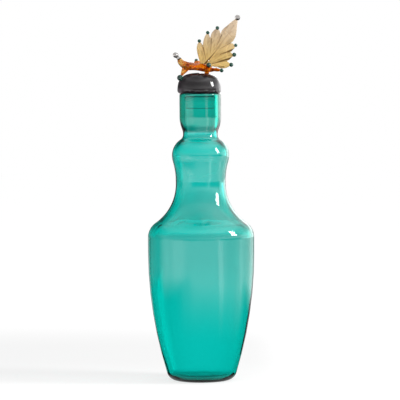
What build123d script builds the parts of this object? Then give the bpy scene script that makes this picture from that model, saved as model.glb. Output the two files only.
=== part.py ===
"""A tall hand-blown genie bottle, closed by a domed glass stopper that carries two lampworked leaves.

Millimetres, +Z up. The origin is the middle of the ring that the bottle stands on, and the bottle's
axis is the Z axis. The viewer stands at -Y, and the leaves lean towards +X. The bottle is one blown
shell. The stopper is one fused piece of glass, kept here as the gathers it is built from: a dark
dome, a ground peg, an amber foot, two amber leaves, and a bead of glass on the end of every lobe.
"""

import os
from math import cos, radians, sin

from build123d import *

# Bottle, outside: half widths, and how much wider or narrower each stretch is than the one below it
stand_radius = 25.2
base_corner_radius = 9.9
body_radius = 53.2
waist_radius = 24.9
bulge_swell = 3.6
neck_draw_in = 11.2
collar_swell = 3.4
# Bottle, outside: how tall each stretch is, from the table up
body_curve_length = 128.0
body_straight_length = 15.0
shoulder_length = 54.0
waist_length = 3.0
bulge_length = 25.3
neck_length = 20.9
collar_flare_length = 17.8
collar_length = 23.0
rim_outer_round = 1.6
rim_inner_round = 1.2
# How much of each S-shaped stretch its first, lower arc takes
shoulder_arc_share = 0.275
waist_arc_share = 0.724
bulge_arc_share = 0.752
neck_arc_share = 0.30
bore_arc_share = 0.50

# Bottle, inside
wall = 3.0
base_thickness = 4.2
stand_ring_width = 8.2
punt_depth = 1.2
bore_swell = 1.0
room_below_peg = 6.0

# Stopper dome, which sits a little to the left of the bottle's axis
dome_left_set = 1.0
dome_overhang = 1.0
dome_height = 20.6
dome_widest_height = 3.3
dome_corner_radius = 3.2
dome_fullness_share = 0.73

# Stopper peg
peg_clearance = 0.35
peg_length = 15.0
peg_taper = 0.5
peg_corner_radius = 1.2
peg_neck_gap = 2.1
peg_neck_length = 3.2

# Amber foot that joins the leaves to the dome
leaf_foot_place = 6.8
leaf_foot_radius = 2.3
leaf_foot_spread = 1.3
leaf_foot_height = 3.6
leaf_foot_depth = 3.2

# Leaves. Each base is given across, away from the viewer, and above the dome's crown
upright_leaf_length = 56.7
upright_leaf_lean = 35.4
upright_leaf_base = (4.9, 1.0, 8.4)
lying_leaf_length = 33.0
lying_leaf_base = (8.0, 0.0, 4.0)
lying_leaf_roll = 22.0
leaf_thickness = 3.0
green_bead_radius = 2.0
clear_bead_radius = 2.8
bead_grip_share = 0.22
clear_neck_root_radius = 2.2
clear_neck_end_radius = 1.4

# One row for each lobe: where its root is, where its bead sits, its width, and its bead's size.
# Places and widths are shares of the leaf's length, the places along, across and off the leaf, and
# a bead's size is a share of the radius above. Across is to the viewer's right on the upright leaf
# and towards the viewer on the lying one, and off is away from the viewer, and upwards.
upright_lobe_shares = {
    "upright_leaf_bead_1": ((-0.05, -0.03, 0.00), (0.280, -0.314, 0.050), 0.120, 0.90),
    "upright_leaf_bead_2": ((-0.01, 0.00, 0.00), (0.485, -0.277, 0.035), 0.125, 0.90),
    "upright_leaf_bead_3": ((0.15, 0.035, 0.00), (0.649, -0.185, 0.010), 0.180, 0.95),
    "upright_leaf_bead_4": ((0.27, 0.025, 0.00), (0.587, 0.252, 0.010), 0.160, 0.85),
    "upright_leaf_bead_5": ((0.115, 0.01, 0.00), (0.436, 0.325, 0.035), 0.165, 1.05),
    "upright_leaf_bead_6": ((0.03, 0.00, 0.00), (0.261, 0.383, 0.050), 0.145, 1.05),
}
upright_tip_share = ((0.20, 0.09, 0.00), (1.000, 0.000, -0.060), 0.272, 0.98)
# The upright leaf's middle is two long halves with the midrib's crease between them
upright_half_shares = [
    ((-0.02, -0.03, 0.00), (0.560, -0.045, 0.000), 0.170),
    ((0.01, 0.085, 0.00), (0.500, 0.095, 0.000), 0.170),
]
lying_lobe_shares = {
    "lying_leaf_bead_2": ((0.045, 0.114, 0.043), (-0.021, 0.409, 0.283), 0.200, 1.22),
    "lying_leaf_bead_3": ((-0.030, 0.061, 0.011), (-0.409, 0.189, 0.018), 0.180, 1.00),
    "lying_leaf_bead_4": ((0.455, -0.151, 0.050), (0.624, -0.434, -0.058), 0.220, 1.10),
    "lying_leaf_bead_5": ((0.273, -0.151, 0.050), (0.352, -0.504, 0.074), 0.200, 0.90),
    "lying_leaf_bead_6": ((0.091, -0.100, 0.005), (-0.015, -0.398, -0.066), 0.200, 0.95),
}
lying_droop_share = ((0.652, 0.136, 0.101), (0.842, 0.439, -0.117), 0.260, 1.50)
# Along, off, width and thickness of the lying leaf's spine, which curls up to its tip bead
spine_shares = [
    (-0.27, -0.005, 0.20, 0.125),
    (0.00, 0.000, 0.42, 0.165),
    (0.24, 0.060, 0.54, 0.16),
    (0.48, 0.080, 0.52, 0.17),
    (0.66, 0.110, 0.42, 0.22),
    (0.78, 0.180, 0.30, 0.20),
    (0.86, 0.330, 0.17, 0.13),
]
lying_tip_share = (0.973, 0.0, 0.447)
clear_neck_root_share = (0.835, 0.0, 0.285)
# Where along a lobe its sections stand, and their shares of its full width and thickness
side_station_shares = [(0.0, 0.55, 0.80), (0.45, 0.88, 1.00), (0.80, 1.00, 0.90), (1.0, 0.42, 0.75)]
tip_station_shares = [
    (0.00, 0.60, 1.00),
    (0.25, 0.88, 1.00),
    (0.50, 0.92, 0.90),
    (0.63, 1.00, 0.80),
    (0.75, 0.80, 0.75),
    (0.88, 0.48, 0.70),
    (1.00, 0.17, 0.70),
]
droop_station_shares = [(0.0, 1.00, 0.90), (0.40, 0.84, 0.90), (0.75, 0.50, 0.80), (1.0, 0.26, 0.65)]

# Where those lengths put the bottle's outline, and the stopper on it
shoulder_height = body_curve_length + body_straight_length
waist_bottom = shoulder_height + shoulder_length
waist_top = waist_bottom + waist_length
bulge_height = waist_top + bulge_length
neck_height = bulge_height + neck_length
collar_height = neck_height + collar_flare_length
rim_height = collar_height + collar_length
bulge_radius = waist_radius + bulge_swell
neck_radius = bulge_radius - neck_draw_in
collar_radius = neck_radius + collar_swell
bore_radius = neck_radius - wall + bore_swell
bore_bottom = rim_height - peg_length - room_below_peg
punt_radius = stand_radius - stand_ring_width
dome_radius = collar_radius + dome_overhang
crown = rim_height + dome_height


def s_curve(start, end, first_arc_share, inset=0):
    """Two arcs, upright at start and end. The inset is added to the first one's radius."""
    across = end[0] - start[0]
    rise = end[1] - start[1]
    both_radii = (across**2 + rise**2) / (2 * abs(across))
    share = first_arc_share + inset / both_radii
    meet = (start[0] + share * across, start[1] + share * rise)
    TangentArc(start, meet, tangent=(0, 1))
    TangentArc(end, meet, tangent=(0, -1))


def body_outline(inset):
    """The bottle's line from its body to its neck, drawn inset from the outer surface."""
    shoulder = (body_radius - inset, shoulder_height)
    waist_low = (waist_radius - inset, waist_bottom)
    waist_high = (waist_radius - inset, waist_top)
    bulge = (bulge_radius - inset, bulge_height)
    Line((body_radius - inset, body_curve_length), shoulder)
    s_curve(shoulder, waist_low, shoulder_arc_share, -inset)
    Line(waist_low, waist_high)
    s_curve(waist_high, bulge, waist_arc_share, inset)
    s_curve(bulge, (neck_radius - inset, neck_height), bulge_arc_share, -inset)


def foot_outline(inset, floor):
    """The round out of the floor and the body's long curve above it, drawn inset."""
    stand_out = body_radius - stand_radius
    corner_to_top = body_curve_length - base_corner_radius
    curve_radius = (stand_out**2 + corner_to_top**2 - base_corner_radius**2) / 2
    curve_radius = curve_radius / (stand_out - base_corner_radius)
    corner_radius = base_corner_radius - inset
    corner_reach = curve_radius - base_corner_radius
    corner_drop = body_curve_length - corner_radius - floor
    floor_radius = body_radius - curve_radius + (corner_reach**2 - corner_drop**2) ** 0.5
    corner_end = (
        floor_radius + corner_radius * (floor_radius - body_radius + curve_radius) / corner_reach,
        floor + corner_radius * (1 - corner_drop / corner_reach),
    )
    TangentArc((floor_radius, floor), corner_end, tangent=(1, 0))
    TangentArc((body_radius - inset, body_curve_length), corner_end, tangent=(0, -1))
    return floor_radius


# Bottle: one blown shell with a thick base, a pushed-up punt and a heavy collar
with BuildPart() as bottle:
    with BuildSketch(Plane.XZ):
        with BuildLine():
            foot_outline(0, 0)
            body_outline(0)
            s_curve((neck_radius, neck_height), (collar_radius, collar_height), neck_arc_share)
            Polyline(
                (collar_radius, collar_height),
                (collar_radius, rim_height),
                (0, rim_height),
                (0, punt_depth),
            )
            TangentArc((0, punt_depth), (punt_radius, 0), tangent=(1, 0))
            Line((punt_radius, 0), (stand_radius, 0))
        make_face()
    revolve(axis=Axis.Z)
    with BuildSketch(Plane.XZ):
        with BuildLine():
            floor_radius = foot_outline(wall, base_thickness)
            body_outline(wall)
            s_curve((neck_radius - wall, neck_height), (bore_radius, bore_bottom), bore_arc_share)
            Polyline(
                (bore_radius, bore_bottom),
                (bore_radius, rim_height),
                (0, rim_height),
                (0, base_thickness),
                (floor_radius, base_thickness),
            )
        make_face()
    revolve(axis=Axis.Z, mode=Mode.SUBTRACT)
    rim_edges = bottle.faces().sort_by(Axis.Z)[-1].edges().sort_by(SortBy.RADIUS)
    fillet(rim_edges[-1], radius=rim_outer_round)
    rim_edges = bottle.faces().sort_by(Axis.Z)[-1].edges().sort_by(SortBy.RADIUS)
    fillet(rim_edges[0], radius=rim_inner_round)
bottle.part.label = "bottle"

# Dome: solid dark glass, flat below so that it rests on the rim
with BuildPart() as stopper_dome:
    with BuildSketch(Plane.XZ.move(Location((-dome_left_set, 0, 0)))):
        with BuildLine():
            widest = (dome_radius, rim_height + dome_widest_height)
            rise = dome_height - dome_widest_height
            Bezier(
                widest,
                (dome_radius, widest[1] + dome_fullness_share * rise),
                (dome_fullness_share * dome_radius, crown),
                (0, crown),
            )
            Polyline((0, crown), (0, rim_height), (dome_radius - dome_corner_radius, rim_height))
            TangentArc(widest, (dome_radius - dome_corner_radius, rim_height), tangent=(0, -1))
        make_face()
    revolve(axis=Axis((-dome_left_set, 0, 0), (0, 0, 1)))
stopper_dome.part.label = "stopper_dome"

# Peg: a waisted stub, then the ground taper that guides the stopper in the bore
with BuildPart() as stopper_peg:
    with BuildSketch(Plane.XZ):
        with BuildLine():
            ground_radius = bore_radius - peg_clearance
            ground_top = rim_height - peg_neck_length
            Polyline(
                (0, rim_height),
                (bore_radius - peg_neck_gap, rim_height),
                (bore_radius - peg_neck_gap, ground_top),
                (ground_radius, ground_top),
                (ground_radius - peg_taper, rim_height - peg_length),
                (0, rim_height - peg_length),
                close=True,
            )
        make_face()
    revolve(axis=Axis.Z)
    end_edge = stopper_peg.edges().filter_by(GeomType.CIRCLE).group_by(Axis.Z)[0]
    fillet(end_edge, radius=peg_corner_radius)
stopper_peg.part.label = "stopper_peg"


def loft_ellipses(ellipses):
    """Loft a smooth solid through ellipses, each given as its plane and its two half sizes."""
    sections = []
    for plane, half_width, half_thickness in ellipses:
        with BuildSketch(plane) as section:
            Ellipse(half_width, half_thickness)
        sections.append(section.sketch)
    loft(sections)


def lobe_ends(leaf_plane, length, root_share, bead_share):
    """Where a lobe's root and its bead's middle are, and the direction from one to the other."""
    root = leaf_plane.from_local_coords(Vector(*root_share) * length)
    bead = leaf_plane.from_local_coords(Vector(*bead_share) * length)
    return root, bead, (bead - root).normalized()


def pull_lobe(leaf_plane, length, root_share, bead_share, width_share, radius, station_shares):
    """Add one flattened lobe, from its root in the leaf to where it enters its bead of that radius."""
    root, bead, heading = lobe_ends(leaf_plane, length, root_share, bead_share)
    across = leaf_plane.z_dir.cross(heading).normalized()
    reach = (bead - root).length - radius * (1 - bead_grip_share)
    ellipses = []
    for along, wide, thick in station_shares:
        plane = Plane(origin=root + heading * (reach * along), x_dir=across, z_dir=heading)
        ellipses.append((plane, width_share * length * wide / 2, leaf_thickness * thick / 2))
    loft_ellipses(ellipses)


# Leaf planes: X runs along the leaf, Y across it and Z off its face
lean = radians(upright_leaf_lean)
upright_plane = Plane(
    origin=Vector(*upright_leaf_base) + Vector(0, 0, crown),
    x_dir=(sin(lean), 0, cos(lean)),
    z_dir=(0, 1, 0),
)
roll = radians(lying_leaf_roll)
lying_plane = Plane(
    origin=Vector(*lying_leaf_base) + Vector(0, 0, crown),
    x_dir=(-1, 0, 0),
    z_dir=(0, -sin(roll), cos(roll)),
)

# Lying leaf: a blade on a spine that curls up at its tip, with five lobes pulled out of its sides
# and a sixth, wide at its root, that droops over the dome's shoulder
with BuildPart() as lying_leaf:
    spine = [Vector(along, 0, off) * lying_leaf_length for along, off, _, _ in spine_shares]
    blade = []
    for number, (_, _, width, thickness) in enumerate(spine_shares):
        heading = spine[min(number + 1, len(spine) - 1)] - spine[max(number - 1, 0)]
        local_plane = Plane(origin=spine[number], x_dir=(0, 1, 0), z_dir=heading)
        plane = Plane(lying_plane.location * local_plane.location)
        blade.append((plane, width * lying_leaf_length / 2, thickness * lying_leaf_length / 2))
    loft_ellipses(blade)
    leaf = (lying_plane, lying_leaf_length)
    for root, bead, width, size in lying_lobe_shares.values():
        pull_lobe(*leaf, root, bead, width, green_bead_radius * size, side_station_shares)
    root, bead, width, size = lying_droop_share
    pull_lobe(*leaf, root, bead, width, green_bead_radius * size, droop_station_shares)
    add(stopper_dome.part, mode=Mode.SUBTRACT)
lying_leaf.part.label = "lying_leaf"

# Upright leaf: six lobes fanned out beside a wide pointed one, joined by the leaf's two halves
with BuildPart() as upright_leaf:
    leaf = (upright_plane, upright_leaf_length)
    for root, bead, width, size in upright_lobe_shares.values():
        pull_lobe(*leaf, root, bead, width, green_bead_radius * size, side_station_shares)
    for root, end, width in upright_half_shares:
        pull_lobe(*leaf, root, end, width, 0, side_station_shares)
    root, bead, width, size = upright_tip_share
    pull_lobe(*leaf, root, bead, width, clear_bead_radius * size, tip_station_shares)
    add(lying_leaf.part, mode=Mode.SUBTRACT)
    add(stopper_dome.part, mode=Mode.SUBTRACT)
upright_leaf.part.label = "upright_leaf"

# Foot: a waisted drop of amber glass between the dome and the lying leaf
with BuildPart() as leaf_foot:
    with BuildSketch(Plane.XZ.move(Location((leaf_foot_place, 0, 0)))):
        with BuildLine():
            foot_bottom = crown - leaf_foot_depth
            foot_top = crown + leaf_foot_height
            foot_waist = (foot_bottom + foot_top) / 2
            ThreePointArc(
                (leaf_foot_radius + leaf_foot_spread, foot_bottom),
                (leaf_foot_radius, foot_waist),
                (leaf_foot_radius + leaf_foot_spread, foot_top),
            )
            Polyline(
                (leaf_foot_radius + leaf_foot_spread, foot_top),
                (0, foot_top),
                (0, foot_bottom),
                (leaf_foot_radius + leaf_foot_spread, foot_bottom),
            )
        make_face()
    revolve(axis=Axis((leaf_foot_place, 0, 0), (0, 0, 1)))
    add(stopper_dome.part, mode=Mode.SUBTRACT)
    add(lying_leaf.part, mode=Mode.SUBTRACT)
    add(upright_leaf.part, mode=Mode.SUBTRACT)
leaf_foot.part.label = "leaf_foot"


def fuse_bead(name, leaf, leaf_plane, length, root_share, bead_share, radius, has_neck=False):
    """A ball of glass round the end of a lobe, or at the end of a neck, hollowed by the leaf."""
    root, middle, heading = lobe_ends(leaf_plane, length, root_share, bead_share)
    with BuildPart() as bead:
        with Locations(Plane(origin=middle, x_dir=heading, z_dir=heading.cross(leaf_plane.y_dir))):
            Sphere(radius)
        if has_neck:
            neck_root = Plane(origin=root, x_dir=leaf_plane.y_dir, z_dir=heading)
            neck_end = Plane(origin=middle, x_dir=leaf_plane.y_dir, z_dir=heading)
            root_section = (neck_root, clear_neck_root_radius, clear_neck_root_radius)
            end_section = (neck_end, clear_neck_end_radius, clear_neck_end_radius)
            loft_ellipses([root_section, end_section])
        add(leaf, mode=Mode.SUBTRACT)
        add(stopper_dome.part, mode=Mode.SUBTRACT)
    bead.part.label = name
    return bead.part


# Beads: green on the side lobes, clear on the two tips
beads = []
for name, (root, place, _, size) in upright_lobe_shares.items():
    leaf = (upright_leaf.part, upright_plane, upright_leaf_length)
    beads.append(fuse_bead(name, *leaf, root, place, green_bead_radius * size))
for name, (root, place, _, size) in lying_lobe_shares.items():
    leaf = (lying_leaf.part, lying_plane, lying_leaf_length)
    beads.append(fuse_bead(name, *leaf, root, place, green_bead_radius * size))
leaf = (upright_leaf.part, upright_plane, upright_leaf_length)
root, place, _, size = upright_tip_share
beads.append(fuse_bead("upright_leaf_tip_bead", *leaf, root, place, clear_bead_radius * size))
leaf = (lying_leaf.part, lying_plane, lying_leaf_length)
root, place, _, size = lying_droop_share
beads.append(fuse_bead("lying_leaf_bead_1", *leaf, root, place, green_bead_radius * size))
place = (clear_neck_root_share, lying_tip_share)
beads.append(fuse_bead("lying_leaf_tip_bead", *leaf, *place, clear_bead_radius, has_neck=True))

os.makedirs("parts", exist_ok=True)
pieces = [bottle.part, stopper_dome.part, stopper_peg.part, leaf_foot.part]
pieces += [lying_leaf.part, upright_leaf.part, *beads]
for piece in pieces:
    print(piece.label, round(piece.volume), "mm3", len(piece.solids()), "solid", piece.is_valid)
    export_step(piece, f"parts/{piece.label}.step")
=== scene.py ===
"""The looks of the genie bottle: blown teal glass, a smoky domed stopper and two lampworked leaves."""

from math import atan2, ceil, cos, pi, radians, sin

import bmesh
import bpy
from mathutils import Matrix, Vector, noise
from mathutils.geometry import interpolate_bezier


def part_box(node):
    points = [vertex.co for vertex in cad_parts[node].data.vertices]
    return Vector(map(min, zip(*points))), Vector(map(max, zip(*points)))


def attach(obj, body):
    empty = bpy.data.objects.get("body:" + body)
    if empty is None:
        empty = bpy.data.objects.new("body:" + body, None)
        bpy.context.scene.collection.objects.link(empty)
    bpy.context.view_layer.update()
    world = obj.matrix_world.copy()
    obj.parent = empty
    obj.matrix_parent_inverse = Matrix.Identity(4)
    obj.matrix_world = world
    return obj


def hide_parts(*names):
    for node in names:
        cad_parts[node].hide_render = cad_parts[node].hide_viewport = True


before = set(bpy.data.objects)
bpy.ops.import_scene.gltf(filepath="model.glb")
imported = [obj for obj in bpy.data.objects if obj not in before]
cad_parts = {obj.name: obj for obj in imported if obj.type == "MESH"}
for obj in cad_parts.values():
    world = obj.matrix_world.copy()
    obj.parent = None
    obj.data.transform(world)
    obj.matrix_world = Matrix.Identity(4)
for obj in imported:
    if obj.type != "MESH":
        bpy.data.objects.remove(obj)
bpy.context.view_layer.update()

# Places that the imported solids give, in metres
_, bottle_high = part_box("bottle")
dome_low, dome_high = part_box("stopper_dome")
body_radius = bottle_high.x
rim_height = bottle_high.z
dome_radius = (dome_high.x - dome_low.x) / 2
dome_middle = (dome_high.x + dome_low.x) / 2
crown = dome_high.z

# Bottle, outside, in metres. A share says how much of a curve its first arc takes
stand_radius = 0.0252
base_corner_radius = 0.0099
body_curve_top = 0.128
shoulder_height = 0.143
waist_radius = 0.0249
waist_bottom = 0.197
waist_top = 0.200
bulge_radius = 0.0285
bulge_height = 0.2253
neck_radius = 0.0173
neck_height = 0.2462
collar_radius = 0.0207
collar_height = 0.264
rim_outer_round = 0.0016
rim_inner_round = 0.0012
shoulder_arc_share = 0.275
waist_arc_share = 0.724
bulge_arc_share = 0.752
neck_arc_share = 0.30
bore_arc_share = 0.50

# Bottle, inside, in metres
wall = 0.003
base_thickness = 0.0042
punt_radius = 0.017
punt_depth = 0.0012
bore_radius = 0.0153
bore_bottom = 0.266

# Stopper, in metres
leaf_foot_x = 0.0049
leaf_foot_z = 0.314
dome_widest_height = 0.0033
dome_corner_radius = 0.0032
dome_fullness_share = 0.73
peg_clearance = 0.00035
peg_length = 0.015
peg_taper = 0.0005
peg_corner_radius = 0.0012
peg_neck_radius = 0.0132
peg_neck_length = 0.0032
peg_ring_half_width = 0.0012

# Painted shade in the creases between the lobes: how strongly they are marked, over how many steps of
# the mesh they spread and how much of the mark is left after each step
crease_strength = 3.0
crease_spread = 2
crease_kept = 0.96

# Grooves between the lobes: how deep they are pressed, how far their soft edge reaches in half widths,
# and by how much they are narrower and fainter at their end
groove_depth = 0.0006
groove_reach = 1.6
groove_narrowing = 0.5
groove_fading = 0.4
# The upright leaf's grooves, each from its mouth to its end, in metres across and up: x, z, x, z, half
# width and how dark its painted shade is, which also scales how deep it is pressed
leaf_grooves = [
    (0.0332, 0.3303, 0.0200, 0.3258, 0.00080, 1.0),
    (0.0320, 0.3220, 0.0120, 0.3166, 0.00085, 1.0),
    (0.0236, 0.3133, 0.0120, 0.3125, 0.00050, 0.8),
    (0.0049, 0.3165, 0.0145, 0.3275, 0.00070, 1.0),
    (0.0145, 0.3275, 0.0330, 0.3530, 0.00040, 0.35),
    (0.0313, 0.3373, 0.0190, 0.3310, 0.00035, 0.6),
    (0.0218, 0.3453, 0.0165, 0.3335, 0.00040, 0.7),
    (0.0116, 0.3416, 0.0105, 0.3270, 0.00045, 0.7),
    (0.0033, 0.3330, 0.0060, 0.3200, 0.00050, 0.7),
    (0.0350, 0.3400, 0.0238, 0.3515, 0.00030, 0.3),
]

# Melted pieces: how far a point moves towards its neighbours at each smoothing, and the level of the
# noise at which the ripple leaves it where it is
smoothing_share = 0.5
ripple_rest_level = 0.5

# Mesh points closer than this, in metres, become one
merge_distance = 1e-6

# How finely round shapes are divided
lathe_steps = 144
arc_step = radians(3)
line_step = 0.006
bezier_points = 28
bead_subdivisions = 4

# Ripple, streaks and spots in the materials: how fine the noise of each is, and between which of its
# levels streaks and spots come in
ripple_scale = 60
ripple_detail = 1
streak_scale = 11
streak_detail = 3
streak_change_upwards = 12.0
streak_levels = (0.48, 0.66)
spot_scale = 420
spot_detail = 1
spot_levels = (0.52, 0.61)

# Camera, as the photo was taken
camera_distance = 2.2
camera_height = 0.281
aim_height = 0.1805
camera_roll = radians(-0.36)
camera_left_shift = 0.0008
view_width = 0.400
sensor_width_mm = 36
camera_clip_end = 50

# Studio: how bright each part of it is, where 1 shows as white
room_level = 0.75
side_dark_level = 0.30
floor_level = 0.775
floor_band_shade = 0.15
dim_room_level = 0.16
upper_left_level = 1.1
upper_right_level = 2.4

# Panels round the bottle that the glass mirrors. Each row: the turns of its two edges from the camera in
# degrees, rightwards, the softness of its edges and the level that it adds
window_panels = [
    (-92, -40, 9, 1.35),
    (30, 44, 4, 1.4),
    (98, 160, 8, 2.4),
]
floor_panels = [
    (-92, 96, 14, 2.0),
    (-140, -94, 12, 0.25),
    (-62, -34, 6, 0.7),
    (38, 49, 3, 1.4),
    (56, 82, 3, -0.4),
    (92, 152, 5, 1.7),
]
# The floor behind, mirrored at the bottle's outermost edges
back_floor_panels = [
    (-200, -150, 6, 0.45),
    (150, 200, 6, 0.45),
]
# A window that shows through the glass
back_window_panels = [
    (106, 142, 8, 2.0),
]

# Softbox at the upper right, in metres and watts
softbox_place = (1.145, -0.223, 0.746)
softbox_width = 0.30
softbox_height = 0.52
softbox_power = 14

# Floor: its size, and how light its paint is
studio_floor_radius = 6.0
studio_floor_sides = 64
floor_paint = 0.3
mirrored_paint_loss = 0.29

# Soft steps over the floor. Each row: where it starts and ends in metres, x rightwards, y away from the
# camera or reach from the bottle's axis, and its levels there where they aren't 0 and 1
shade_right_x = (0.13, 0.05)
shade_left_x = (-1.0, -0.35)
shade_front_y = (-0.14, 0.18)
shade_back_y = (0.28, 0.68, 1.0, 0.0)
behind_near_y = (-0.50, -0.10, 0.36, 0.565)
behind_middle_y = (0.4, 2.0, 1.0, 0.78)
behind_far_y = (2.4, 5.5, 1.0, 1.35)
contact_reach = (0.018, 0.05, 0.36, 1.0)
leftward_loss_x = (-0.34, -0.04, 0.23, 0.0)
backward_loss_y = (-0.04, 0.20, 0.0, 0.25)
near_light_reach = (0.10, 0.55)
foot_light_reach = (0.033, 0.048, 0.4, 0.0)
far_floor_reach = (3.4, 5.0)

# Soft steps round the room. Each row: where it starts and ends, turn and climb in degrees and y as a
# share of the direction's length, and its levels there where they aren't 0 and 1
upward_turn = (-60, 80, upper_left_level, upper_right_level)
upward_climb = (0.5, 7)
left_wall_turn = (-125, -75, 0.05, 1.0)
left_wall_climb = (28, 45)
low_band_start_climb = (10, 18)
low_band_end_climb = (34, 46, 1.0, 0.0)
low_band_share = 0.6
overhead_climb = (55, 80, 1.0, 0.6)
backward_y = (-0.2, 0.5, 1.0, 0.7)
backward_climb = (12, 32)
side_dark_y = (0.15, 0.80, side_dark_level, 1.0)
haze_climb = (-1.6, 0.0, 0.80, 0.94)
upper_haze_climb = (7.0, 12.0, 1.0, 0.6)
ceiling_climb = (12, 24, 1.0, 0.12)


class Pen:
    """Draws half of a lathe outline in the XZ plane, as vertices joined by edges."""

    def __init__(self, bm, radius, height):
        self.bm = bm
        self.tip = bm.verts.new((radius, 0, height))
        self.heading = 0

    def line_to(self, radius, height):
        run = Vector((radius, 0, height)) - self.tip.co
        pieces = max(1, ceil(run.length / line_step))
        for _ in range(pieces):
            end = self.bm.verts.new(self.tip.co + run / pieces)
            self.bm.edges.new((self.tip, end))
            self.tip = end
        self.heading = atan2(run.z, run.x)

    def arc_to(self, radius, height):
        """An arc that leaves the last point in the pen's heading, and turns the heading with it."""
        run = Vector((radius, 0, height)) - self.tip.co
        lean = (atan2(run.z, run.x) - self.heading + pi) % (2 * pi) - pi
        arc_radius = run.length / (2 * sin(lean))
        side = self.heading + pi / 2
        centre = self.tip.co + Vector((cos(side), 0, sin(side))) * arc_radius
        steps = max(2, ceil(abs(2 * lean) / arc_step))
        spun = bmesh.ops.spin(
            self.bm, geom=[self.tip], cent=centre, axis=(0, -1, 0), angle=2 * lean, steps=steps
        )
        self.tip = [item for item in spun["geom_last"] if isinstance(item, bmesh.types.BMVert)][0]
        self.heading += 2 * lean

    def s_curve_to(self, radius, height, first_arc_share, inset=0):
        """Two arcs, upright at both ends. The inset is added to the first one's radius."""
        start = self.tip.co.copy()
        across = radius - start.x
        rise = height - start.z
        both_radii = (across**2 + rise**2) / (2 * abs(across))
        share = first_arc_share + inset / both_radii
        self.heading = pi / 2
        self.arc_to(start.x + share * across, start.z + share * rise)
        self.arc_to(radius, height)


def draw_body(pen, inset, floor):
    """The bottle's line from its floor to its neck, drawn inset from the outer surface."""
    stand_out = body_radius - stand_radius
    corner_to_top = body_curve_top - base_corner_radius
    curve_radius = (stand_out**2 + corner_to_top**2 - base_corner_radius**2) / 2
    curve_radius = curve_radius / (stand_out - base_corner_radius)
    corner_radius = base_corner_radius - inset
    corner_reach = curve_radius - base_corner_radius
    corner_drop = body_curve_top - corner_radius - floor
    floor_radius = body_radius - curve_radius + (corner_reach**2 - corner_drop**2) ** 0.5
    along = (floor_radius - body_radius + curve_radius) / corner_reach
    pen.line_to(floor_radius, floor)
    pen.heading = 0
    pen.arc_to(
        floor_radius + corner_radius * along,
        floor + corner_radius * (1 - corner_drop / corner_reach),
    )
    pen.arc_to(body_radius - inset, body_curve_top)
    pen.line_to(body_radius - inset, shoulder_height)
    pen.s_curve_to(waist_radius - inset, waist_bottom, shoulder_arc_share, -inset)
    pen.line_to(waist_radius - inset, waist_top)
    pen.s_curve_to(bulge_radius - inset, bulge_height, waist_arc_share, inset)
    pen.s_curve_to(neck_radius - inset, neck_height, bulge_arc_share, -inset)


def finish_lathe(bm, name, middle=0.0):
    """Spin the outline round, close its seam and poles, and set it at its place across."""
    bmesh.ops.spin(
        bm,
        geom=bm.verts[:] + bm.edges[:],
        cent=(0, 0, 0),
        axis=(0, 0, 1),
        angle=2 * pi,
        steps=lathe_steps,
        use_merge=True,
    )
    bmesh.ops.remove_doubles(bm, verts=bm.verts[:], dist=merge_distance)
    bmesh.ops.recalc_face_normals(bm, faces=bm.faces[:])
    bmesh.ops.translate(bm, verts=bm.verts[:], vec=(middle, 0, 0))
    return add_piece(bm, name)


def add_piece(bm, name):
    """Put a finished bmesh into the scene as a smooth-shaded object at the origin."""
    for face in bm.faces:
        face.smooth = True
    mesh = bpy.data.meshes.new(name)
    bm.to_mesh(mesh)
    bm.free()
    piece = bpy.data.objects.new(name, mesh)
    bpy.context.scene.collection.objects.link(piece)
    return piece


def make_bottle():
    """The blown bottle: its outside from the punt to the rim, then its inside up to the same place."""
    bm = bmesh.new()
    outside = Pen(bm, 0, punt_depth)
    outside.arc_to(punt_radius, 0)
    draw_body(outside, 0, 0)
    outside.s_curve_to(collar_radius, collar_height, neck_arc_share)
    outside.line_to(collar_radius, rim_height - rim_outer_round)
    outside.arc_to(collar_radius - rim_outer_round, rim_height)
    inside = Pen(bm, 0, base_thickness)
    draw_body(inside, wall, base_thickness)
    inside.s_curve_to(bore_radius, bore_bottom, bore_arc_share)
    inside.line_to(bore_radius, rim_height - rim_inner_round)
    inside.arc_to(bore_radius + rim_inner_round, rim_height)
    inside.line_to(collar_radius - rim_outer_round, rim_height)
    return finish_lathe(bm, "blown_bottle")


def make_dome():
    """The stopper's dome, flat below and round above."""
    bm = bmesh.new()
    widest_height = rim_height + dome_widest_height
    rise = crown - widest_height
    pen = Pen(bm, 0, rim_height)
    pen.line_to(dome_radius - dome_corner_radius, rim_height)
    pen.heading = 0
    pen.arc_to(dome_radius, widest_height)
    curve = interpolate_bezier(
        Vector((dome_radius, 0, widest_height)),
        Vector((dome_radius, 0, widest_height + dome_fullness_share * rise)),
        Vector((dome_fullness_share * dome_radius, 0, crown)),
        Vector((0, 0, crown)),
        bezier_points,
    )
    for point in curve[1:]:
        pen.line_to(point.x, point.z)
    return finish_lathe(bm, "smoky_dome", dome_middle)


def make_peg():
    """The ground peg below the dome, with a narrower neck at its top."""
    bm = bmesh.new()
    ground_radius = bore_radius - peg_clearance
    ground_top = rim_height - peg_neck_length
    pen = Pen(bm, 0, rim_height - peg_length)
    pen.line_to(ground_radius - peg_taper - peg_corner_radius, rim_height - peg_length)
    pen.arc_to(ground_radius - peg_taper, rim_height - peg_length + peg_corner_radius)
    pen.line_to(ground_radius, ground_top)
    pen.line_to(peg_neck_radius, ground_top)
    pen.line_to(peg_neck_radius, rim_height)
    pen.line_to(0, rim_height)
    return finish_lathe(bm, "ground_peg")


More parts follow.
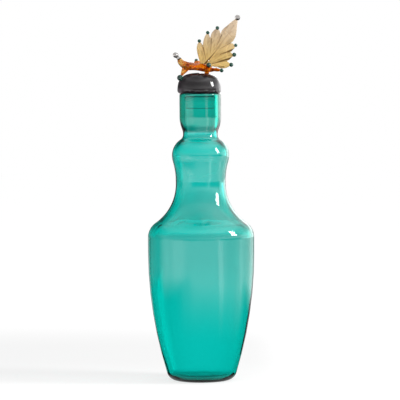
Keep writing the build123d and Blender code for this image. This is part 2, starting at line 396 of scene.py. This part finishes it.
def draw_grooves(bm, grooves):
    """Press grooves into both faces of a leaf, and mark them for painted shade, as its creases are."""
    crease = bm.verts.layers.float["crease"]
    for x_start, z_start, x_end, z_end, half_width, darkness in grooves:
        start = Vector((x_start, 0, z_start))
        run = Vector((x_end, 0, z_end)) - start
        for vert in bm.verts:
            here = Vector((vert.co.x, 0, vert.co.z)) - start
            along = min(1, max(0, here.dot(run) / run.length_squared))
            away = (here - run * along).length / (half_width * (1 - groove_narrowing * along))
            if away < groove_reach:
                press = darkness * min(1, groove_reach - away) * (1 - groove_fading * along)
                vert[crease] = max(vert[crease], press)
                vert.co -= vert.normal * press * groove_depth


def mark_creases(bm, voxel):
    """Store on each vertex how deep in a crease between lobes it lies, from 0 to 1, as the strength of
    the painted shade there.
    """
    crease = bm.verts.layers.float.new("crease")
    for vert in bm.verts:
        around = [edge.other_vert(vert).co for edge in vert.link_edges]
        inward = sum(around, Vector()) / len(around) - vert.co
        vert[crease] = min(1, max(0, inward.dot(vert.normal) / voxel * crease_strength))
    for _ in range(crease_spread):
        spread = []
        for vert in bm.verts:
            around = [edge.other_vert(vert)[crease] for edge in vert.link_edges]
            spread.append(max(vert[crease] * crease_kept, sum(around) / len(around)))
        for vert, value in zip(bm.verts, spread):
            vert[crease] = value


def melt_node(node, name, voxel, smoothing, ripple, ripple_size, grooves=()):
    """A copy of a CAD node with its creases and edges softened, as glass softens in the flame, and its
    creases marked for painted shade.
    """
    bm = bmesh.new()
    bm.from_mesh(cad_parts[node].data)
    bmesh.ops.remove_doubles(bm, verts=bm.verts[:], dist=merge_distance)
    source = add_piece(bm, name + "_source")
    remesh = source.modifiers.new("fuse", "REMESH")
    remesh.mode = "VOXEL"
    remesh.voxel_size = voxel
    depsgraph = bpy.context.evaluated_depsgraph_get()
    shaped = bpy.data.meshes.new_from_object(source.evaluated_get(depsgraph))
    bpy.data.objects.remove(source)
    bm = bmesh.new()
    bm.from_mesh(shaped)
    bm.normal_update()
    mark_creases(bm, voxel)
    for _ in range(smoothing):
        bmesh.ops.smooth_vert(
            bm,
            verts=bm.verts[:],
            factor=smoothing_share,
            use_axis_x=True,
            use_axis_y=True,
            use_axis_z=True,
        )
    bm.normal_update()
    draw_grooves(bm, grooves)
    bm.normal_update()
    for vert in bm.verts:
        wave = noise.noise(vert.co / ripple_size)
        vert.co += vert.normal * (wave - ripple_rest_level) * ripple
    return add_piece(bm, name)


def make_bead(node):
    """A ball of glass as large as the node's, round the same middle."""
    low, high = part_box(node)
    size = max(high - low)
    middle = Matrix.Translation((low + high) / 2)
    bm = bmesh.new()
    bmesh.ops.create_icosphere(bm, subdivisions=bead_subdivisions, radius=size / 2, matrix=middle)
    return add_piece(bm, node + "_ball")


def dress(piece, material, body, slot, *nodes):
    """Give a piece its material and the body that it rides on, and hide the nodes that it replaces. The
    slot is not used.
    """
    piece.data.materials.clear()
    piece.data.materials.append(material)
    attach(piece, body)
    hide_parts(*nodes)


# Node trees
def feed(tree, socket, value):
    """Set a socket to a number or a colour, or link it to another node's output."""
    if isinstance(value, (int, float)):
        socket.default_value = value
    elif isinstance(value, tuple):
        socket.default_value = (*value, 1)
    else:
        tree.links.new(value, socket)


def new_math(tree, operation, first, second=0.0):
    """A Math node's result, from values or from other nodes' outputs."""
    node = tree.nodes.new("ShaderNodeMath")
    node.operation = operation
    feed(tree, node.inputs[0], first)
    feed(tree, node.inputs[1], second)
    return node.outputs[0]


def new_product(tree, first, *others):
    """All the values multiplied together."""
    for other in others:
        first = new_math(tree, "MULTIPLY", first, other)
    return first


def new_step(tree, value, low, high, bottom=0.0, top=1.0):
    """A soft step from bottom to top as the value passes from low to high."""
    node = tree.nodes.new("ShaderNodeMapRange")
    node.interpolation_type = "SMOOTHSTEP"
    node.inputs["From Min"].default_value = low
    node.inputs["From Max"].default_value = high
    node.inputs["To Min"].default_value = bottom
    node.inputs["To Max"].default_value = top
    tree.links.new(value, node.inputs["Value"])
    return node.outputs["Result"]


def new_blend(tree, share, low, high):
    """Low where the share is 0, high where it is 1. A Mix node takes its numbers in sockets 2 and 3."""
    node = tree.nodes.new("ShaderNodeMix")
    feed(tree, node.inputs[0], share)
    feed(tree, node.inputs[2], low)
    feed(tree, node.inputs[3], high)
    return node.outputs[0]


def new_colour_blend(tree, share, low, high):
    """The same with colours, which a Mix node takes in sockets 6 and 7."""
    node = tree.nodes.new("ShaderNodeMix")
    node.data_type = "RGBA"
    feed(tree, node.inputs["Factor"], share)
    feed(tree, node.inputs[6], low)
    feed(tree, node.inputs[7], high)
    return node.outputs[2]


def new_place(tree, space):
    """Where the ray meets a surface, or the way it leaves the room."""
    return tree.nodes.new("ShaderNodeTexCoord").outputs[space]


def new_axes(tree, place):
    """A place's X, Y and Z, each an output of its own."""
    split = tree.nodes.new("ShaderNodeSeparateXYZ")
    tree.links.new(place, split.inputs[0])
    return split.outputs


def new_noise(tree, place, scale, detail):
    """Soft random levels from 0 to 1, the same at the same place on every run."""
    texture = tree.nodes.new("ShaderNodeTexNoise")
    texture.inputs["Scale"].default_value = scale
    texture.inputs["Detail"].default_value = detail
    tree.links.new(place, texture.inputs["Vector"])
    return texture.outputs["Fac"]


# Materials
def shader(name):
    """A new material, and from it the node tree, the surface and the output."""
    material = bpy.data.materials.new(name)
    material.use_nodes = True
    tree = material.node_tree
    return material, tree, tree.nodes["Principled BSDF"], tree.nodes["Material Output"]


def glass(
    name, colour, absorbed, density, clearness=1.0, roughness=0.0, ior=1.5, ripple_depth=0.00002,
    stretch=1.0,
):
    """Clear glass that is tinted by its depth, with the faint ripple of hand-worked glass."""
    material, tree, surface, output = shader(name)
    surface.inputs["Base Color"].default_value = (*colour, 1)
    surface.inputs["Transmission Weight"].default_value = clearness
    surface.inputs["Roughness"].default_value = roughness
    surface.inputs["IOR"].default_value = ior
    stretched = tree.nodes.new("ShaderNodeVectorMath")
    stretched.operation = "MULTIPLY"
    stretched.inputs[1].default_value = (1, 1, 1 / stretch)
    tree.links.new(new_place(tree, "Object"), stretched.inputs[0])
    bump = tree.nodes.new("ShaderNodeBump")
    bump.inputs["Distance"].default_value = ripple_depth
    wave = new_noise(tree, stretched.outputs[0], ripple_scale, ripple_detail)
    tree.links.new(wave, bump.inputs["Height"])
    tree.links.new(bump.outputs["Normal"], surface.inputs["Normal"])
    depth = tree.nodes.new("ShaderNodeVolumeAbsorption")
    depth.inputs["Color"].default_value = (*absorbed, 1)
    depth.inputs["Density"].default_value = density
    tree.links.new(depth.outputs["Volume"], output.inputs["Volume"])
    return material


def leaf_glass(
    name, root_colour, tip_colour, crease_colour, absorbed, density, clearness, ior, streakiness,
    spottiness, tip_axis, tip_range,
):
    """Worked glass: streaks that fan out from the leaf's foot and spots in the glass's own brown, and
    painted shade in its creases in the same brown.
    """
    material = glass(name, root_colour, absorbed, density, clearness, ior=ior)
    tree = material.node_tree
    surface = tree.nodes["Principled BSDF"]
    place = new_place(tree, "Object")
    axes = new_axes(tree, place)
    across = new_math(tree, "SUBTRACT", axes["X"], leaf_foot_x)
    above = new_math(tree, "SUBTRACT", axes["Z"], leaf_foot_z)
    fan = tree.nodes.new("ShaderNodeCombineXYZ")
    tree.links.new(new_math(tree, "ARCTAN2", across, above), fan.inputs[0])
    tree.links.new(new_math(tree, "MULTIPLY", above, streak_change_upwards), fan.inputs[1])
    streaks = new_noise(tree, fan.outputs[0], streak_scale, streak_detail)
    streak = new_step(tree, streaks, *streak_levels, 0.0, streakiness)
    spots = new_noise(tree, place, spot_scale, spot_detail)
    spot = new_step(tree, spots, *spot_levels, 0.0, spottiness)
    creases = tree.nodes.new("ShaderNodeAttribute")
    creases.attribute_name = "crease"
    streak_spot_and_crease_shade = new_math(tree, "MAXIMUM", streak, spot)
    # Painted shade in the leaf's creases, in the same colour as its streaks and spots
    streak_spot_and_crease_shade = new_math(tree, "MAXIMUM", streak_spot_and_crease_shade, creases.outputs["Fac"])
    towards_tip = new_step(tree, axes[tip_axis], *tip_range)
    plain = new_colour_blend(tree, towards_tip, root_colour, tip_colour)
    colour = new_colour_blend(tree, streak_spot_and_crease_shade, plain, crease_colour)
    tree.links.new(colour, surface.inputs["Base Color"])
    return material


def darken_rings(material, heights, half_width):
    """Dark lines round a piece at some heights, where its corners turn the light away."""
    tree = material.node_tree
    surface = tree.nodes["Principled BSDF"]
    axes = new_axes(tree, new_place(tree, "Object"))
    light = 1.0
    for height in heights:
        away = new_math(tree, "ABSOLUTE", new_math(tree, "SUBTRACT", axes["Z"], height))
        light = new_math(tree, "MULTIPLY", new_step(tree, away, 0.0, half_width), light)
    black = (0.0, 0.0, 0.0)
    plain = tuple(surface.inputs["Base Color"].default_value[:3])
    paint = new_colour_blend(tree, light, black, plain)
    tree.links.new(paint, surface.inputs["Base Color"])


# Studio
def turn_from_camera(tree, axes):
    """The angle round the bottle in degrees: 0 towards the camera, 90 to the right."""
    frontward = new_math(tree, "MULTIPLY", axes["Y"], -1.0)
    return new_math(tree, "MULTIPLY", new_math(tree, "ARCTAN2", axes["X"], frontward), 180 / pi)


def add_panels(tree, turn, level, panels):
    """A level with soft-edged panels added to it, each between its two turns."""
    for start, end, softness, added in panels:
        rise = new_step(tree, turn, start - softness, start + softness)
        fall = new_step(tree, turn, end - softness, end + softness, added, 0.0)
        level = new_math(tree, "ADD", new_math(tree, "MULTIPLY", rise, fall), level)
    return level


def floor_for_camera(tree, axes):
    """The floor as the camera sees it: nearly white, with a pale shade behind and to the left."""
    band = new_product(
        tree, new_step(tree, axes["Y"], *shade_front_y), new_step(tree, axes["Y"], *shade_back_y)
    )
    shade = new_product(
        tree, new_step(tree, axes["X"], *shade_right_x), band, new_step(tree, axes["X"], *shade_left_x)
    )
    return new_math(tree, "SUBTRACT", floor_level, new_math(tree, "MULTIPLY", shade, floor_band_shade))


def floor_through_glass(tree, axes, reach):
    """The floor as it shows through the glass, with a painted shadow that makes it darkest close to the
    bottle.
    """
    return new_product(
        tree,
        new_step(tree, axes["Y"], *behind_near_y),
        new_step(tree, axes["Y"], *behind_middle_y),
        new_step(tree, axes["Y"], *behind_far_y),
        new_step(tree, reach, *contact_reach),
    )


def floor_in_mirror(tree, axes, reach):
    """The floor as the glass mirrors it: panels close by, and the same light as the room far off."""
    turn = turn_from_camera(tree, axes)
    lit_reach = new_math(tree, "SUBTRACT", reach, new_step(tree, axes["X"], *leftward_loss_x))
    lit_reach = new_math(tree, "SUBTRACT", lit_reach, new_step(tree, axes["Y"], *backward_loss_y))
    near_light = new_math(
        tree,
        "MULTIPLY",
        new_step(tree, lit_reach, *near_light_reach),
        add_panels(tree, turn, 0.0, floor_panels),
    )
    near_light = new_math(tree, "MAXIMUM", near_light, add_panels(tree, turn, 0.0, back_floor_panels))
    near_light = new_math(tree, "MAXIMUM", near_light, new_step(tree, reach, *foot_light_reach))
    far_light = add_panels(tree, turn, dim_room_level, window_panels)
    return new_blend(tree, new_step(tree, reach, *far_floor_reach), near_light, far_light)


def make_floor():
    """A white floor. Its light is its own, so that it stays white and still takes a shadow."""
    bm = bmesh.new()
    bmesh.ops.create_circle(bm, cap_ends=True, radius=studio_floor_radius, segments=studio_floor_sides)
    floor = add_piece(bm, "studio_floor")
    material, tree, surface, _ = shader("white_floor")
    surface.inputs["Roughness"].default_value = 1
    surface.inputs["Specular IOR Level"].default_value = 0
    path = tree.nodes.new("ShaderNodeLightPath")
    is_transmitted = path.outputs["Is Transmission Ray"]
    is_mirrored = new_math(tree, "SUBTRACT", path.outputs["Is Glossy Ray"], is_transmitted)
    is_mirrored = new_math(tree, "MAXIMUM", is_mirrored, 0.0)
    place = new_place(tree, "Object")
    axes = new_axes(tree, place)
    from_middle = tree.nodes.new("ShaderNodeVectorMath")
    from_middle.operation = "LENGTH"
    tree.links.new(place, from_middle.inputs[0])
    reach = from_middle.outputs["Value"]

    seen = new_math(tree, "MULTIPLY", path.outputs["Is Camera Ray"], floor_for_camera(tree, axes))
    seen_through = new_math(tree, "MULTIPLY", is_transmitted, floor_through_glass(tree, axes, reach))
    mirrored = new_math(tree, "MULTIPLY", is_mirrored, floor_in_mirror(tree, axes, reach))
    own_light = new_math(tree, "ADD", new_math(tree, "ADD", seen, seen_through), mirrored)
    surface.inputs["Emission Color"].default_value = (1, 1, 1, 1)
    tree.links.new(own_light, surface.inputs["Emission Strength"])

    paint = tree.nodes.new("ShaderNodeCombineColor")
    loss = new_math(tree, "MULTIPLY", is_mirrored, mirrored_paint_loss)
    white = new_math(tree, "SUBTRACT", floor_paint, loss)
    for channel in ("Red", "Green", "Blue"):
        tree.links.new(white, paint.inputs[channel])
    tree.links.new(paint.outputs["Color"], surface.inputs["Base Color"])
    floor.data.materials.append(material)


def room_in_mirror(tree, axes, turn, climb):
    """The room as the glass mirrors it: windows level with the bottle, and a bright room above."""
    level_view = add_panels(tree, turn, dim_room_level, window_panels)
    left_wall = new_blend(
        tree, new_step(tree, climb, *left_wall_climb), new_step(tree, turn, *left_wall_turn), 1.0
    )
    upward_view = new_math(tree, "MULTIPLY", new_step(tree, turn, *upward_turn), left_wall)
    mirrored = new_blend(tree, new_step(tree, climb, *upward_climb), level_view, upward_view)
    low_band = new_product(
        tree, new_step(tree, climb, *low_band_start_climb), new_step(tree, climb, *low_band_end_climb)
    )
    dimmed = new_math(tree, "MULTIPLY", mirrored, low_band_share)
    mirrored = new_blend(tree, low_band, mirrored, dimmed)
    backward = new_blend(
        tree, new_step(tree, climb, *backward_climb), 1.0, new_step(tree, axes["Y"], *backward_y)
    )
    return new_product(tree, mirrored, new_step(tree, climb, *overhead_climb), backward)


def room_through_glass(tree, axes, turn, climb):
    """The room as it shows through the glass: darker at the sides and higher up, with a window."""
    level = new_product(
        tree,
        new_step(tree, axes["Y"], *side_dark_y),
        new_step(tree, climb, *haze_climb),
        new_step(tree, climb, *upper_haze_climb),
    )
    level = add_panels(tree, turn, level, back_window_panels)
    return new_math(tree, "MULTIPLY", level, new_step(tree, climb, *ceiling_climb))


def make_world():
    """White to the camera, plain light all round, and a room that only mirrored and bent rays meet."""
    world = bpy.data.worlds.new("studio")
    world.use_nodes = True
    bpy.context.scene.world = world
    tree = world.node_tree
    tree.nodes.clear()
    output = tree.nodes.new("ShaderNodeOutputWorld")
    path = tree.nodes.new("ShaderNodeLightPath")
    axes = new_axes(tree, new_place(tree, "Generated"))
    turn = turn_from_camera(tree, axes)
    climb = new_math(tree, "MULTIPLY", new_math(tree, "ARCSINE", axes["Z"]), 180 / pi)
    mirrored = room_in_mirror(tree, axes, turn, climb)
    seen_through = room_through_glass(tree, axes, turn, climb)
    level = new_blend(tree, path.outputs["Is Glossy Ray"], room_level, mirrored)
    level = new_blend(tree, path.outputs["Is Transmission Ray"], level, seen_through)
    level = new_blend(tree, path.outputs["Is Camera Ray"], level, 1.0)
    room = tree.nodes.new("ShaderNodeBackground")
    room.inputs["Color"].default_value = (1, 1, 1, 1)
    tree.links.new(level, room.inputs["Strength"])
    tree.links.new(room.outputs[0], output.inputs["Surface"])


def add_softbox():
    """A rectangular lamp at the upper right that faces the bottle's middle."""
    lamp = bpy.data.lights.new("right_softbox", "AREA")
    lamp.shape = "RECTANGLE"
    lamp.size = softbox_width
    lamp.size_y = softbox_height
    lamp.energy = softbox_power
    softbox = bpy.data.objects.new("right_softbox", lamp)
    softbox.visible_transmission = False
    softbox.location = softbox_place
    facing = Vector((0, 0, aim_height)) - Vector(softbox_place)
    softbox.rotation_euler = facing.to_track_quat("-Z", "Y").to_euler()
    bpy.context.scene.collection.objects.link(softbox)


def add_camera():
    """The camera where the photo was taken from, with the photo's slight roll."""
    lens = bpy.data.cameras.new("photo_camera")
    lens.sensor_width = sensor_width_mm
    lens.sensor_fit = "HORIZONTAL"
    lens.lens = lens.sensor_width * camera_distance / view_width
    lens.clip_end = camera_clip_end
    camera = bpy.data.objects.new("photo_camera", lens)
    camera.location = (-camera_left_shift, -camera_distance, camera_height)
    facing = Vector((-camera_left_shift, 0, aim_height)) - camera.location
    turned = facing.to_track_quat("-Z", "Y").to_matrix().to_4x4()
    camera.rotation_euler = (turned @ Matrix.Rotation(camera_roll, 4, "Z")).to_euler()
    bpy.context.scene.collection.objects.link(camera)
    bpy.context.scene.camera = camera


# The glass of each piece
teal = glass(
    "teal_glass", colour=(1, 1, 1), absorbed=(0.0, 0.93, 0.908), density=1000, ripple_depth=0.0006,
    stretch=12,
)
smoke = glass("smoke_glass", colour=(1, 1, 1), absorbed=(0.34, 0.30, 0.33), density=150, ior=1.45)
ground = glass(
    "ground_glass", colour=(0.96, 1, 0.99), absorbed=(0.3, 0.95, 0.95), density=20, roughness=0.05,
    ior=1.12,
)
darken_rings(ground, (rim_height - peg_neck_length, rim_height - peg_length), peg_ring_half_width)
amber = leaf_glass(
    "amber_glass",
    root_colour=(1.0, 0.74, 0.3),
    tip_colour=(1.0, 0.82, 0.62),
    # Brown of the streaks and spots, also used for the painted shade in the creases
    crease_colour=(0.17, 0.065, 0.01),
    absorbed=(0.9, 0.75, 0.4),
    density=95,
    clearness=0.6,
    ior=1.12,
    streakiness=0.3,
    spottiness=0.0,
    tip_axis="Z",
    tip_range=(0.320, 0.356),
)
orange = leaf_glass(
    "orange_glass",
    root_colour=(1.0, 0.29, 0.002),
    tip_colour=(1.0, 0.80, 0.28),
    # Brown of the streaks and spots, also used for the painted shade in the creases
    crease_colour=(0.42, 0.03, 0.0),
    absorbed=(0.98, 0.75, 0.3),
    density=90,
    clearness=0.7,
    ior=1.15,
    streakiness=0.5,
    spottiness=0.9,
    tip_axis="X",
    tip_range=(-0.012, -0.021),
)
green = glass(
    "green_glass", colour=(0.0, 0.24, 0.17), absorbed=(0.0, 0.62, 0.50), density=1100, clearness=0.8
)
clear = glass("clear_glass", colour=(0.88, 0.86, 0.84), absorbed=(0.5, 0.47, 0.46), density=200)

# The bottle and the stopper
dress(make_bottle(), teal, "bottle", "teal_glass", "bottle")
dress(make_dome(), smoke, "stopper", "smoke_glass", "stopper_dome")
dress(make_peg(), ground, "stopper", "ground_glass", "stopper_peg")
upright = melt_node(
    "upright_leaf", "lobed_upright_leaf", voxel=0.0003, smoothing=5, ripple=0.0002, ripple_size=0.004,
    grooves=leaf_grooves,
)
dress(upright, amber, "stopper", "amber_glass", "upright_leaf")
lying = melt_node(
    "lying_leaf", "lobed_lying_leaf", voxel=0.00035, smoothing=6, ripple=0.0002, ripple_size=0.004
)
dress(lying, orange, "stopper", "orange_glass", "lying_leaf")
foot = melt_node("leaf_foot", "amber_foot", voxel=0.0002, smoothing=3, ripple=0.0001, ripple_size=0.002)
dress(foot, orange, "stopper", "orange_glass", "leaf_foot")
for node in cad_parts:
    if node == "lying_leaf_tip_bead":
        necked = melt_node(
            node, node + "_ball", voxel=0.00025, smoothing=4, ripple=0.0, ripple_size=0.002
        )
        dress(necked, clear, "stopper", "clear_glass", node)
    elif node.endswith("tip_bead"):
        dress(make_bead(node), clear, "stopper", "clear_glass", node)
    elif "_bead_" in node:
        dress(make_bead(node), green, "stopper", "green_glass", node)

# The studio round them
make_floor()
make_world()
add_softbox()
add_camera()
bpy.context.scene.view_settings.view_transform = "Standard"
bpy.context.scene.cycles.use_denoising = True
